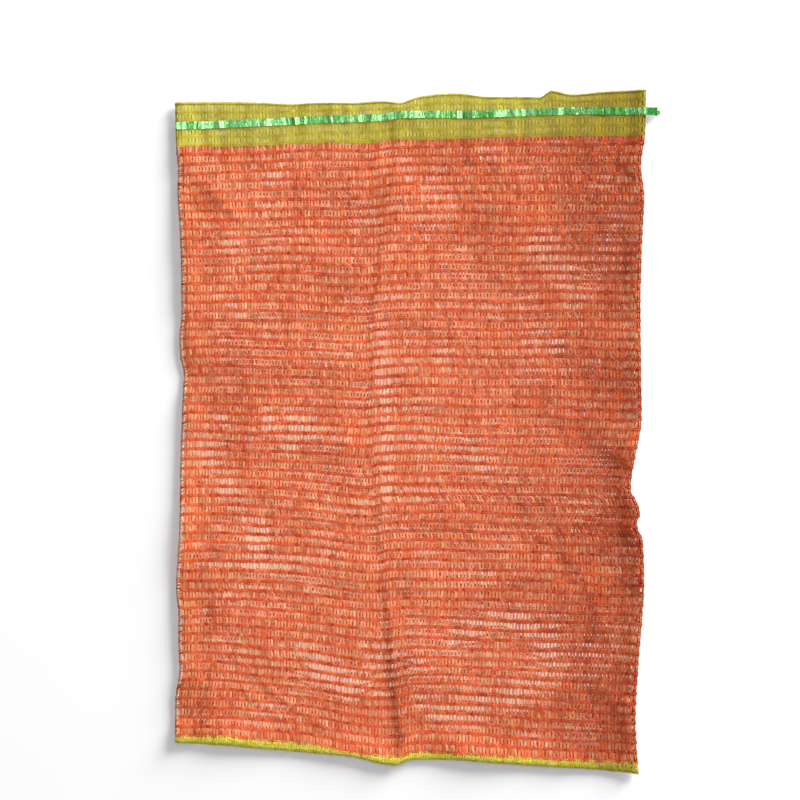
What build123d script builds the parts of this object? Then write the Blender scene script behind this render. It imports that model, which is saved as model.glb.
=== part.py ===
from build123d import *
from math import atan2, cos, degrees, pi, sin, tan
import os

# Mesh produce bag: a knitted raschel sack lying flat, front layer over back
# layer, with a knitted mouth band, a flat tape drawstring and a sewn hem.
# +X runs across the bag, +Y from the hem to the mouth, +Z up from the floor.
# The origin is the centre of the footprint, on the floor. Millimetres.

os.makedirs("parts", exist_ok=True)

# ---------------------------------------------------------------- dimensions
X_MOVE = -7.517         # brings the footprint's centre, tails included, to X = 0
Y_MOVE = -0.192

NET_T = 1.0             # knitted body cloth
BAND_T = 1.4            # mouth band, a denser and thicker knit
TOTAL_T = 7.6           # floor to the top of the front layer
NET_GAP_LOW = NET_T                     # top of the back net
NET_GAP_HIGH = TOTAL_T - NET_T          # underside of the front net
BAND_GAP_LOW = BAND_T
BAND_GAP_HIGH = TOTAL_T - BAND_T
MID_Z = TOTAL_T / 2
SIDE_WALL = 1.2         # cloth where the layers meet at either side
WALL_END_RISE = 0.6     # the side walls stop just above the sloping hem

TAPE_W = 7.0            # flat drawstring tape
TAPE_T = 0.4
TAPE_BEND_W = 5.0       # the tape is pinched where it turns round the fold
TAPE_Z_FRONT = 6.7      # underside of the front run
TAPE_Z_BACK = TOTAL_T - TAPE_Z_FRONT - TAPE_T
SLOT_W = 8.0            # the channel knitted into the band
LEDGE_GAP = 6.2         # the channel's floor is open by this much
LEDGE_T = 0.3
LOOP_W = 1.0            # knitted loops that hold the tape down
LOOP_T = 0.3
LOOP_PITCH = 9.0
LOOP_COUNT = 54

STITCH_W = 0.7          # sewing thread
STITCH_T = 0.4
PULL = 200.0            # travel of the drawstring

# ---------------------------------------------------------------- outlines
# Each line is a list of (x, y) stations across or along the bag.
MOUTH = [(-252.3, 354.2), (-205.0, 355.4), (-161.8, 353.8), (-126.1, 351.1),
         (-63.7, 353.3), (-28.1, 355.2), (-12.0, 353.5), (10.8, 360.0),
         (50.3, 363.1), (85.5, 359.8), (126.2, 359.7), (139.0, 359.2),
         (152.1, 365.9), (174.4, 362.2), (211.4, 364.6), (253.1, 366.8)]
BAND_LINE = [(-250.9, 305.8), (-179.6, 309.3), (-122.6, 311.0), (-45.9, 311.5),
             (-19.1, 315.5), (10.8, 316.5), (100.0, 317.8), (165.1, 320.1),
             (252.1, 318.7)]
LEFT = [(-250.9, 305.8), (-248.8, 279.0), (-249.4, 256.4), (-247.1, 217.7),
        (-245.4, 168.2), (-245.4, 125.2), (-247.6, 99.4), (-245.4, 76.9),
        (-243.0, 62.0), (-243.4, 19.9), (-246.5, -33.9), (-247.4, -104.8),
        (-251.0, -167.2), (-248.4, -197.0), (-248.6, -228.0),
        (-247.4, -254.2), (-251.8, -288.6), (-252.2, -325.2)]
RIGHT = [(252.1, 318.7), (247.7, 286.5), (251.2, 252.1), (248.6, 197.3),
         (247.3, 134.9), (247.7, 81.2), (248.6, 14.5), (243.9, -15.6),
         (237.6, -50.0), (236.8, -62.9), (243.6, -76.0), (246.6, -88.0),
         (243.2, -99.4), (249.8, -118.8), (251.2, -167.2), (249.6, -194.0),
         (246.0, -234.9), (242.4, -288.6), (241.8, -302.6), (243.9, -354.9)]
HEM_TOP = [(-252.2, -325.2), (-194.8, -326.1), (-167.4, -329.5),
           (-109.1, -334.7), (-57.7, -344.0), (-14.8, -347.4), (7.1, -343.4),
           (60.5, -345.1), (149.6, -350.5), (185.3, -352.3), (243.9, -354.9)]
HEM_BOTTOM = [(-252.2, -333.0), (-194.8, -336.4), (-160.5, -339.8),
              (-109.1, -344.0), (-57.7, -349.2), (-32.0, -355.7),
              (-16.0, -357.2), (2.0, -351.5), (42.7, -351.7), (96.2, -356.7),
              (131.8, -359.4), (185.3, -361.2), (226.3, -365.6),
              (245.1, -366.9)]

# The tape channel is straight and climbs a little to the right.
SLOT_LEFT = (-252.6, 328.3)
SLOT_RIGHT = (248.3, 344.0)
SLOT_ANGLE = atan2(SLOT_RIGHT[1] - SLOT_LEFT[1], SLOT_RIGHT[0] - SLOT_LEFT[0])
BEND_X = -249.0         # where the runs turn into the bend
FRONT_TAIL_X = 265.5    # cut ends of the two tails
BACK_TAIL_X = 268.4


def slot_y(x):
    """Height of the channel's centre line at x."""
    return SLOT_LEFT[1] + (x - SLOT_LEFT[0]) * tan(SLOT_ANGLE)


def at(points):
    """Stations moved to the part's own origin."""
    return [(x + X_MOVE, y + Y_MOVE) for x, y in points]


def on_edge(edge, y):
    """x on a polyline edge of the band, between its two corner stations."""
    (x0, y0), (x1, y1) = edge
    return x0 + (y - y0) * (x1 - x0) / (y1 - y0)


# The side walls follow the net's edges, but end a little above the hem.
LEFT_WALL = LEFT[:-1] + [(LEFT[-1][0], LEFT[-1][1] + WALL_END_RISE)]
RIGHT_WALL = RIGHT[:-1] + [(RIGHT[-1][0], RIGHT[-1][1] + WALL_END_RISE)]
BAND_LEFT_EDGE = (BAND_LINE[0], MOUTH[0])
BAND_RIGHT_EDGE = (BAND_LINE[-1], MOUTH[-1])
SLOPE = tan(SLOT_ANGLE)


def band_corner(edge, v):
    """Where the line at distance v above the channel's centre meets an edge."""
    x = edge[0][0]
    for _ in range(20):
        x = on_edge(edge, slot_y(x) + v / cos(SLOT_ANGLE))
    return (x, slot_y(x) + v / cos(SLOT_ANGLE))


UP_L, UP_R = (band_corner(e, SLOT_W / 2) for e in (BAND_LEFT_EDGE, BAND_RIGHT_EDGE))
LO_L, LO_R = (band_corner(e, -SLOT_W / 2) for e in (BAND_LEFT_EDGE, BAND_RIGHT_EDGE))
UL_L, UL_R = (band_corner(e, LEDGE_GAP / 2) for e in (BAND_LEFT_EDGE, BAND_RIGHT_EDGE))
LL_L, LL_R = (band_corner(e, -LEDGE_GAP / 2) for e in (BAND_LEFT_EDGE, BAND_RIGHT_EDGE))

# Channel frame: u along the tape, v across it, from the point above x = 0.
SLOT_ORIGIN = at([(0.0, slot_y(0.0))])[0]
U_BEND = BEND_X / cos(SLOT_ANGLE)
U_FRONT_TAIL = FRONT_TAIL_X / cos(SLOT_ANGLE)
U_BACK_TAIL = BACK_TAIL_X / cos(SLOT_ANGLE)


def channel_plane(z):
    """A plane at height z whose x direction runs along the tape."""
    return Plane(origin=(SLOT_ORIGIN[0], SLOT_ORIGIN[1], z),
                 x_dir=(cos(SLOT_ANGLE), sin(SLOT_ANGLE), 0), z_dir=(0, 0, 1))


# ---------------------------------------------------------------- body cloth
with BuildPart() as back_body_net:
    with BuildSketch(Plane.XY):
        with BuildLine():
            Spline(*at(BAND_LINE))
            Spline(*at(RIGHT))
            Spline(*at(HEM_TOP))
            Spline(*at(LEFT))
        make_face()
    extrude(amount=NET_T)
back_body_net.part.label = "back_body_net"

with BuildPart() as front_body_net:
    with BuildSketch(Plane.XY.offset(NET_GAP_HIGH)):
        with BuildLine():
            Spline(*at(BAND_LINE))
            Spline(*at(RIGHT))
            Spline(*at(HEM_TOP))
            Spline(*at(LEFT))
        make_face()
    extrude(amount=NET_T)
front_body_net.part.label = "front_body_net"

# Right side: the cloth is folded, so the two layers are joined by the fold.
with BuildPart() as right_side_fold:
    with BuildSketch(Plane.XY.offset(NET_GAP_LOW)):
        with BuildLine():
            Spline(*at(RIGHT_WALL))
            Spline(*[(x - SIDE_WALL, y) for x, y in at(RIGHT_WALL)])
            Line(at(RIGHT_WALL)[0], (at(RIGHT_WALL)[0][0] - SIDE_WALL, at(RIGHT_WALL)[0][1]))
            Line(at(RIGHT_WALL)[-1], (at(RIGHT_WALL)[-1][0] - SIDE_WALL, at(RIGHT_WALL)[-1][1]))
        make_face()
    extrude(amount=NET_GAP_HIGH - NET_GAP_LOW)
right_side_fold.part.label = "right_side_fold"

# Left side: the two raw edges are turned in and sewn to one another.
with BuildPart() as left_seam_allowance:
    with BuildSketch(Plane.XY.offset(NET_GAP_LOW)):
        with BuildLine():
            Spline(*at(LEFT_WALL))
            Spline(*[(x + SIDE_WALL, y) for x, y in at(LEFT_WALL)])
            Line(at(LEFT_WALL)[0], (at(LEFT_WALL)[0][0] + SIDE_WALL, at(LEFT_WALL)[0][1]))
            Line(at(LEFT_WALL)[-1], (at(LEFT_WALL)[-1][0] + SIDE_WALL, at(LEFT_WALL)[-1][1]))
        make_face()
    extrude(amount=NET_GAP_HIGH - NET_GAP_LOW)
left_seam_allowance.part.label = "left_seam_allowance"

# ---------------------------------------------------------------- mouth band
# Each layer of the band is knitted as two strips with the tape channel
# between them. A thin ledge on both strips carries the tape from inside.
with BuildPart() as front_band_upper:
    with BuildSketch(Plane.XY.offset(BAND_GAP_HIGH)):
        with BuildLine():
            Spline(*at(MOUTH))
            Line(at(MOUTH)[-1], at([UP_R])[0])
            Line(at([UP_R])[0], at([UP_L])[0])
            Line(at([UP_L])[0], at(MOUTH)[0])
        make_face()
    extrude(amount=BAND_T)
    with BuildSketch(Plane.XY.offset(BAND_GAP_HIGH)):
        with BuildLine():
            Polyline(*at([UL_L, UL_R, UP_R, UP_L]), close=True)
        make_face()
    extrude(amount=LEDGE_T)
front_band_upper.part.label = "front_band_upper"

with BuildPart() as front_band_lower:
    with BuildSketch(Plane.XY.offset(BAND_GAP_HIGH)):
        with BuildLine():
            Spline(*at(BAND_LINE))
            Line(at(BAND_LINE)[-1], at([LO_R])[0])
            Line(at([LO_R])[0], at([LO_L])[0])
            Line(at([LO_L])[0], at(BAND_LINE)[0])
        make_face()
    extrude(amount=BAND_T)
    with BuildSketch(Plane.XY.offset(BAND_GAP_HIGH)):
        with BuildLine():
            Polyline(*at([LL_L, LL_R, LO_R, LO_L]), close=True)
        make_face()
    extrude(amount=LEDGE_T)
front_band_lower.part.label = "front_band_lower"

with BuildPart() as back_band_upper:
    with BuildSketch(Plane.XY):
        with BuildLine():
            Spline(*at(MOUTH))
            Line(at(MOUTH)[-1], at([UP_R])[0])
            Line(at([UP_R])[0], at([UP_L])[0])
            Line(at([UP_L])[0], at(MOUTH)[0])
        make_face()
    extrude(amount=BAND_T)
    with BuildSketch(Plane.XY.offset(BAND_GAP_LOW - LEDGE_T)):
        with BuildLine():
            Polyline(*at([UL_L, UL_R, UP_R, UP_L]), close=True)
        make_face()
    extrude(amount=LEDGE_T)
back_band_upper.part.label = "back_band_upper"

with BuildPart() as back_band_lower:
    with BuildSketch(Plane.XY):
        with BuildLine():
            Spline(*at(BAND_LINE))
            Line(at(BAND_LINE)[-1], at([LO_R])[0])
            Line(at([LO_R])[0], at([LO_L])[0])
            Line(at([LO_L])[0], at(BAND_LINE)[0])
        make_face()
    extrude(amount=BAND_T)
    with BuildSketch(Plane.XY.offset(BAND_GAP_LOW - LEDGE_T)):
        with BuildLine():
            Polyline(*at([LL_L, LL_R, LO_R, LO_L]), close=True)
        make_face()
    extrude(amount=LEDGE_T)
back_band_lower.part.label = "back_band_lower"

# The band's left fold is open at the channel, where the tape turns round it.
with BuildPart() as left_band_fold_upper:
    with BuildSketch(Plane.XY.offset(BAND_GAP_LOW)):
        with BuildLine():
            Polyline(*at([UL_L, MOUTH[0],
                          (MOUTH[0][0] + SIDE_WALL, MOUTH[0][1]),
                          (UL_L[0] + SIDE_WALL, UL_L[1] + SIDE_WALL * SLOPE)]),
                     close=True)
        make_face()
    extrude(amount=BAND_GAP_HIGH - BAND_GAP_LOW)
left_band_fold_upper.part.label = "left_band_fold_upper"

with BuildPart() as left_band_fold_lower:
    with BuildSketch(Plane.XY.offset(BAND_GAP_LOW)):
        with BuildLine():
            Polyline(*at([BAND_LINE[0], LL_L,
                          (LL_L[0] + SIDE_WALL, LL_L[1] + SIDE_WALL * SLOPE),
                          (BAND_LINE[0][0] + SIDE_WALL, BAND_LINE[0][1])]),
                     close=True)
        make_face()
    extrude(amount=BAND_GAP_HIGH - BAND_GAP_LOW)
left_band_fold_lower.part.label = "left_band_fold_lower"

with BuildPart() as right_band_fold:
    with BuildSketch(Plane.XY.offset(BAND_GAP_LOW)):
        with BuildLine():
            Polyline(*at([BAND_LINE[-1], MOUTH[-1],
                          (MOUTH[-1][0] - SIDE_WALL, MOUTH[-1][1]),
                          (BAND_LINE[-1][0] - SIDE_WALL, BAND_LINE[-1][1])]),
                     close=True)
        make_face()
    extrude(amount=BAND_GAP_HIGH - BAND_GAP_LOW)
right_band_fold.part.label = "right_band_fold"

# Knitted loops across the channel, outside the tape, from strip to strip.
with BuildPart() as front_tape_loops:
    with BuildSketch(channel_plane(TOTAL_T - LOOP_T)):
        with GridLocations(LOOP_PITCH, 1, LOOP_COUNT, 1):
            Rectangle(LOOP_W, SLOT_W)
    extrude(amount=LOOP_T)
front_tape_loops.part.label = "front_tape_loops"

with BuildPart() as back_tape_loops:
    with BuildSketch(channel_plane(0)):
        with GridLocations(LOOP_PITCH, 1, LOOP_COUNT, 1):
            Rectangle(LOOP_W, SLOT_W)
    extrude(amount=LOOP_T)
back_tape_loops.part.label = "back_tape_loops"

# ---------------------------------------------------------------- drawstring
with BuildPart() as drawstring_front_run:
    with BuildSketch(channel_plane(TAPE_Z_FRONT)):
        with Locations(((U_BEND + U_FRONT_TAIL) / 2, 0)):
            Rectangle(U_FRONT_TAIL - U_BEND, TAPE_W)
    extrude(amount=TAPE_T)
    fillet(drawstring_front_run.edges().filter_by(Axis.Z).sort_by(Axis.X)[-2:], 1.0)
drawstring_front_run.part.label = "drawstring_front_run"

with BuildPart() as drawstring_back_run:
    with BuildSketch(channel_plane(TAPE_Z_BACK)):
        with Locations(((U_BEND + U_BACK_TAIL) / 2, 0)):
            Rectangle(U_BACK_TAIL - U_BEND, TAPE_W)
    extrude(amount=TAPE_T)
    fillet(drawstring_back_run.edges().filter_by(Axis.Z).sort_by(Axis.X)[-2:], 1.0)
drawstring_back_run.part.label = "drawstring_back_run"

# The bend is a half ring of the pinched tape, from the back run to the front.
BEND_R_OUT = (TAPE_Z_FRONT + TAPE_T - TAPE_Z_BACK) / 2
BEND_R_IN = BEND_R_OUT - TAPE_T
bend_plane = Plane(
    origin=(SLOT_ORIGIN[0] + U_BEND * cos(SLOT_ANGLE) + TAPE_BEND_W / 2 * sin(SLOT_ANGLE),
            SLOT_ORIGIN[1] + U_BEND * sin(SLOT_ANGLE) - TAPE_BEND_W / 2 * cos(SLOT_ANGLE),
            MID_Z),
    x_dir=(0, 0, 1),
    z_dir=(-sin(SLOT_ANGLE), cos(SLOT_ANGLE), 0))
with BuildPart() as drawstring_left_bend:
    with BuildSketch(bend_plane) as bend_ring:
        Circle(BEND_R_OUT)
        Circle(BEND_R_IN, mode=Mode.SUBTRACT)
        split(bisect_by=Plane.YZ.rotated((0, 0, 90)), keep=Keep.BOTTOM)
    extrude(amount=TAPE_BEND_W)
drawstring_left_bend.part.label = "drawstring_left_bend"

# ---------------------------------------------------------------- hem
with BuildPart() as back_hem:
    with BuildSketch(Plane.XY):
        with BuildLine():
            Spline(*at(HEM_TOP))
            Line(at(HEM_TOP)[-1], at(HEM_BOTTOM)[-1])
            Spline(*at(HEM_BOTTOM))
            Line(at(HEM_BOTTOM)[0], at(HEM_TOP)[0])
        make_face()
    extrude(amount=MID_Z)
back_hem.part.label = "back_hem"

with BuildPart() as front_hem:
    with BuildSketch(Plane.XY.offset(MID_Z)):
        with BuildLine():
            Spline(*at(HEM_TOP))
            Line(at(HEM_TOP)[-1], at(HEM_BOTTOM)[-1])
            Spline(*at(HEM_BOTTOM))
            Line(at(HEM_BOTTOM)[0], at(HEM_TOP)[0])
        make_face()
    extrude(amount=TOTAL_T - MID_Z)
front_hem.part.label = "front_hem"


# ---------------------------------------------------------------- sewing
def stations(points, pitch, inset):
    """Evenly spaced points with headings along a list of stations."""
    marks, left_over = [], inset
    for (x0, y0), (x1, y1) in zip(points, points[1:]):
        length = ((x1 - x0) ** 2 + (y1 - y0) ** 2) ** 0.5
        along = left_over
        while along <= length:
            t = along / length
            marks.append((x0 + (x1 - x0) * t, y0 + (y1 - y0) * t,
                          degrees(atan2(y1 - y0, x1 - x0))))
            along += pitch
        left_over = along - length
    return marks


HEM_MIDDLE = [(x, y - 4.2) for x, y in at(HEM_TOP)]
SEAM_MIDDLE = [(x + 3.4, y) for x, y in at(LEFT)]

with BuildPart() as hem_seam_thread:
    with BuildSketch(Plane.XY.offset(TOTAL_T)):
        for x, y, heading in stations(HEM_MIDDLE[:-1], 8.0, 4.0):
            with Locations(Location((x, y, 0), (0, 0, heading))):
                SlotOverall(5.5, STITCH_W)
    extrude(amount=STITCH_T)
hem_seam_thread.part.label = "hem_seam_thread"

with BuildPart() as side_seam_thread:
    with BuildSketch(Plane.XY.offset(TOTAL_T)):
        for x, y, heading in stations(SEAM_MIDDLE[:-1], 9.0, 5.0):
            with Locations(Location((x, y, 0), (0, 0, heading))):
                SlotOverall(6.0, STITCH_W)
    extrude(amount=STITCH_T)
side_seam_thread.part.label = "side_seam_thread"

# ---------------------------------------------------------------- export
pieces = [
    front_body_net, back_body_net, right_side_fold, left_seam_allowance,
    front_band_upper, front_band_lower, back_band_upper, back_band_lower,
    left_band_fold_upper, left_band_fold_lower, right_band_fold,
    front_tape_loops, back_tape_loops,
    drawstring_front_run, drawstring_back_run, drawstring_left_bend,
    front_hem, back_hem, hem_seam_thread, side_seam_thread,
]
export_step(front_body_net.part, "parts/front_body_net.step")
export_step(back_body_net.part, "parts/back_body_net.step")
export_step(right_side_fold.part, "parts/right_side_fold.step")
export_step(left_seam_allowance.part, "parts/left_seam_allowance.step")
export_step(front_band_upper.part, "parts/front_band_upper.step")
export_step(front_band_lower.part, "parts/front_band_lower.step")
export_step(back_band_upper.part, "parts/back_band_upper.step")
export_step(back_band_lower.part, "parts/back_band_lower.step")
export_step(left_band_fold_upper.part, "parts/left_band_fold_upper.step")
export_step(left_band_fold_lower.part, "parts/left_band_fold_lower.step")
export_step(right_band_fold.part, "parts/right_band_fold.step")
export_step(front_tape_loops.part, "parts/front_tape_loops.step")
export_step(back_tape_loops.part, "parts/back_tape_loops.step")
export_step(drawstring_front_run.part, "parts/drawstring_front_run.step")
export_step(drawstring_back_run.part, "parts/drawstring_back_run.step")
export_step(drawstring_left_bend.part, "parts/drawstring_left_bend.step")
export_step(front_hem.part, "parts/front_hem.step")
export_step(back_hem.part, "parts/back_hem.step")
export_step(hem_seam_thread.part, "parts/hem_seam_thread.step")
export_step(side_seam_thread.part, "parts/side_seam_thread.step")

box = Compound(children=[p.part for p in pieces]).bounding_box()
print("bag box", box.min, box.max, "tape angle", round(degrees(SLOT_ANGLE), 3))
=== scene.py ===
import bpy
import math
import numpy as np
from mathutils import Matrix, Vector


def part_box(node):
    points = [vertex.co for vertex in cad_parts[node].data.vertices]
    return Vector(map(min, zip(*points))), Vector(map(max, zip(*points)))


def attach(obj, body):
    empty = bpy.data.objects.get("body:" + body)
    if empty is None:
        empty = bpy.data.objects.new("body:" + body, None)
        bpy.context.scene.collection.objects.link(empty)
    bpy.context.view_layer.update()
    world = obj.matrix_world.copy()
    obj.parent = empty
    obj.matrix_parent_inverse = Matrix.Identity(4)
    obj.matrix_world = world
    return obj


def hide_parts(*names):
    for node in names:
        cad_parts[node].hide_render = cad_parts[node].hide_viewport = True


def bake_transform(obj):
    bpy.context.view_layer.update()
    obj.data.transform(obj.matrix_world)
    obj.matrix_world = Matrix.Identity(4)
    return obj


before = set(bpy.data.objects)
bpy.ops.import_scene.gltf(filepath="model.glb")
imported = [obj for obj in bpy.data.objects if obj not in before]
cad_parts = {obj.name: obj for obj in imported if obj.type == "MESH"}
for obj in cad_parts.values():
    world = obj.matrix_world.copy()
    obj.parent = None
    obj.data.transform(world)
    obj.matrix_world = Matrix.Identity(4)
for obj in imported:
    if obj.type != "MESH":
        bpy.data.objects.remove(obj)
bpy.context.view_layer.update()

scene = bpy.context.scene
scene.view_settings.view_transform = "Standard"
scene.view_settings.look = "None"

MM = 0.001

# ------------------------------------------------------------------ camera
cam_data = bpy.data.cameras.new("camera")
cam_data.lens = 100.0
cam_data.sensor_width = 36.0
cam = bpy.data.objects.new("camera", cam_data)
scene.collection.objects.link(cam)
VIEW_W = 0.860
cam.location = (-0.01827, 0.03367, VIEW_W * 100.0 / 36.0)
cam.rotation_euler = (0, 0, 0)
cam_data.clip_start, cam_data.clip_end = 0.05, 50
scene.camera = cam

# ------------------------------------------------------------------ outlines
# The cloth's outline in mm, within 2 mm of the CAD model's: stations along each edge.
SHIFT = np.array([-7.517, -0.192])
MOUTH = [(-252.3, 352.4), (-205.0, 353.6), (-161.8, 353.3), (-126.1, 351.9),
         (-107.5, 353.1), (-88.0, 353.5),
         (-63.7, 353.3), (-28.1, 355.2), (-12.0, 353.5), (10.8, 360.0),
         (50.3, 363.1), (85.5, 359.8), (126.2, 359.7), (139.0, 359.2),
         (152.1, 365.9), (174.4, 362.2), (211.4, 364.6), (253.1, 366.8)]
BAND_LINE = [(-250.9, 305.8), (-179.6, 309.3), (-122.6, 311.0), (-45.9, 311.5),
             (-19.1, 315.5), (10.8, 316.5), (100.0, 317.8), (165.1, 320.1),
             (252.1, 318.7)]
LEFT = [(-252.3, 352.4), (-250.9, 305.8), (-248.8, 279.0), (-249.4, 256.4),
        (-247.1, 217.7), (-245.4, 168.2), (-245.4, 125.2), (-247.6, 99.4),
        (-246.5, 79.0), (-243.0, 62.0), (-244.5, 25.0), (-246.5, -33.9),
        (-247.4, -104.8), (-251.0, -167.2), (-248.4, -197.0), (-248.6, -228.0),
        (-247.4, -254.2), (-251.9, -288.6), (-252.2, -325.2), (-252.2, -333.0)]
RIGHT = [(253.1, 366.8), (252.1, 318.7), (247.7, 286.5), (251.2, 252.1),
         (248.6, 197.3), (247.3, 134.9), (247.7, 81.2), (248.6, 14.5),
         (243.9, -15.6), (237.6, -50.0), (236.8, -62.9), (243.6, -76.0),
         (246.6, -88.0), (243.2, -99.4), (249.8, -118.8), (251.2, -167.2),
         (249.6, -194.0), (246.0, -234.9), (242.4, -288.6), (241.8, -302.6),
         (243.9, -354.9), (245.1, -366.9)]
HEM_TOP = [(-252.2, -325.2), (-194.8, -326.1), (-167.4, -329.5),
           (-109.1, -334.7), (-57.7, -344.0), (-14.8, -347.4), (7.1, -343.4),
           (60.5, -345.1), (149.6, -350.5), (185.3, -352.3), (243.9, -354.9)]
HEM_BOTTOM = [(-252.2, -333.0), (-194.8, -336.4), (-160.5, -339.8),
              (-109.1, -344.0), (-57.7, -349.2), (-32.0, -355.7),
              (-16.0, -357.2), (2.0, -351.5), (42.7, -351.7), (96.2, -355.2),
              (131.8, -358.2), (185.3, -361.2), (226.3, -364.9),
              (245.1, -366.9)]


def curve_of(stations, along, knots=1400):
    """A smooth (monotone cubic) function through stations, along axis 0 (x) or 1 (y)."""
    p = np.array(stations, float) + SHIFT
    a, b = p[:, along], p[:, 1 - along]
    order = np.argsort(a)
    a, b = a[order], b[order]
    h = np.diff(a)
    d = np.diff(b) / h
    m = np.zeros(len(a))
    for i in range(1, len(a) - 1):
        if d[i - 1] * d[i] > 0:
            w1, w2 = 2 * h[i] + h[i - 1], h[i] + 2 * h[i - 1]
            m[i] = (w1 + w2) / (w1 / d[i - 1] + w2 / d[i])
    m[0], m[-1] = d[0], d[-1]
    t = np.linspace(a[0], a[-1], knots)
    k = np.clip(np.searchsorted(a, t) - 1, 0, len(h) - 1)
    s = (t - a[k]) / h[k]
    v = ((2 * s**3 - 3 * s**2 + 1) * b[k] + (s**3 - 2 * s**2 + s) * h[k] * m[k]
         + (-2 * s**3 + 3 * s**2) * b[k + 1] + (s**3 - s**2) * h[k] * m[k + 1])
    return lambda q: np.interp(q, t, v)


mouth_y = curve_of(MOUTH, 0)
band_y = curve_of(BAND_LINE, 0)
hem_top_y = curve_of(HEM_TOP, 0)
hem_bot_y = curve_of(HEM_BOTTOM, 0)
left_x = curve_of(LEFT, 1)
right_x = curve_of(RIGHT, 1)

# ------------------------------------------------------------------ fields
GX0, GX1, GY0, GY1, STEP = -290.0, 300.0, -400.0, 400.0, 2.0
NX, NY = int((GX1 - GX0) / STEP) + 1, int((GY1 - GY0) / STEP) + 1
gx, gy = np.meshgrid(np.linspace(GX0, GX1, NX), np.linspace(GY0, GY1, NY))


def noise_field(seed, size, size_y=None):
    """A smooth random field on the grid: mean 0, deviation 1, features about size mm."""
    rng = np.random.default_rng(seed)
    size_y = size if size_y is None else size_y
    n = rng.standard_normal((NY, NX))
    fy = np.fft.fftfreq(NY, STEP)[:, None]
    fx = np.fft.rfftfreq(NX, STEP)[None, :]
    g = np.exp(-0.5 * ((fx * size * 2.2) ** 2 + (fy * size_y * 2.2) ** 2))
    f = np.fft.irfft2(np.fft.rfft2(n) * g, (NY, NX))
    f -= f.mean()
    return f / f.std()


def look_up(field, x, y):
    """Bilinear reading of a grid field at points in mm."""
    u = np.clip((x - GX0) / STEP, 0, NX - 1.001)
    v = np.clip((y - GY0) / STEP, 0, NY - 1.001)
    i, j = u.astype(int), v.astype(int)
    u, v = u - i, v - j
    return ((field[j, i] * (1 - u) + field[j, i + 1] * u) * (1 - v)
            + (field[j + 1, i] * (1 - u) + field[j + 1, i + 1] * u) * v)


def crease(points, width, taper=30.0):
    """(signed side distance / width, strength 0..1 fading at the ends) of a crease line in mm."""
    p = np.array(points, float)
    seg = np.diff(p, axis=0)
    length = np.hypot(seg[:, 0], seg[:, 1])
    total = length.sum()
    best = np.full(gx.shape, 1e9)
    side = np.zeros(gx.shape)
    along = np.zeros(gx.shape)
    done = 0.0
    for a, s, n in zip(p[:-1], seg, length):
        t = np.clip(((gx - a[0]) * s[0] + (gy - a[1]) * s[1]) / n**2, 0, 1)
        dx, dy = gx - a[0] - t * s[0], gy - a[1] - t * s[1]
        d = np.hypot(dx, dy)
        near = d < best
        best = np.where(near, d, best)
        cross = (s[0] * dy - s[1] * dx) / n
        side = np.where(near, np.sign(cross), side)
        along = np.where(near, done + t * n, along)
        done += n
    fade = np.clip(along / taper, 0, 1) * np.clip((total - along) / taper, 0, 1)
    return best * side / width, np.clip(best / width, 0, 1e6), fade


def ridge(points, height, width, taper=30.0):
    _, d, fade = crease(points, width, taper)
    return height * np.exp(-d * d) * fade


def ledge(points, height, width, taper=30.0, reach=60.0):
    """A step that falls off again away from the line, positive on the line's left."""
    s, d, fade = crease(points, width, taper)
    return height * np.tanh(s) * np.exp(-(d * width / reach) ** 2) * fade


# vertical packing fold, from the mouth to the hem
FOLD = [(-23, 357), (-24, 312), (-29, 258), (-40, 182), (-47, 120), (-49, 22),
        (-43, -52), (-38, -112), (-31, -180), (-24, -266), (-17, -337), (-16, -357)]
FOLD_LOW = [(-34, -150), (-31, -180), (-24, -266), (-17, -330), (-16, -362)]

relief = np.zeros(gx.shape)
relief += ridge(FOLD, 0.8, 4.5, 10)
relief += ledge(FOLD, 0.5, 3.6, 10, 26)
relief -= ridge([(x - 7, y) for x, y in FOLD], 0.4, 5.0, 10)
relief += ridge(FOLD_LOW, 5.2, 7.0, 60)
relief += ledge([(x + 3, y) for x, y in FOLD_LOW], 2.2, 7.0, 60, 40)
# horizontal packing folds
relief -= ridge([(-250, 112), (-120, 120), (-48, 121)], 1.2, 4.0, 60)
relief += ridge([(-250, 121), (-120, 129), (-48, 130)], 0.9, 6.0, 60)
relief -= ridge([(-20, 122), (70, 118), (150, 120), (240, 118)], 0.9, 4.5, 30)
relief -= ridge([(-190, 20), (-110, 21), (-45, 22), (60, 21), (100, 25), (148, 20)], 1.2, 4.0, 30)
relief += ridge([(-190, 28), (-110, 29), (-45, 30), (60, 29), (100, 33)], 1.0, 6.0, 30)
relief -= ridge([(-255, -116), (-190, -112), (-150, -114), (-90, -104), (-45, -106)], 1.4, 4.0, 15)
relief += ridge([(-255, -124), (-190, -121), (-150, -122), (-90, -113), (-45, -114)], 1.0, 6.0, 15)
relief -= ridge([(-35, -108), (40, -107), (60, -102), (120, -108), (240, -112)], 1.2, 4.0, 25)
# arc from the middle fold round to the right edge
relief += ledge([(90, 28), (150, 18), (172, 10), (200, -18), (240, -45)], 1.0, 4.0, 20, 30)
relief += ridge([(90, 28), (150, 18), (172, 10), (200, -18), (240, -45)], 1.5, 5.0, 20)
# pleats that stand beside each other right of the middle
relief += ridge([(118, 118), (128, 84), (136, 48)], 1.6, 7.0, 20)
relief += ridge([(88, 110), (90, 70), (92, 40)], 1.0, 7.0, 20)
relief += ridge([(158, 112), (166, 70), (170, 30)], 1.2, 8.0, 20)
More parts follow.
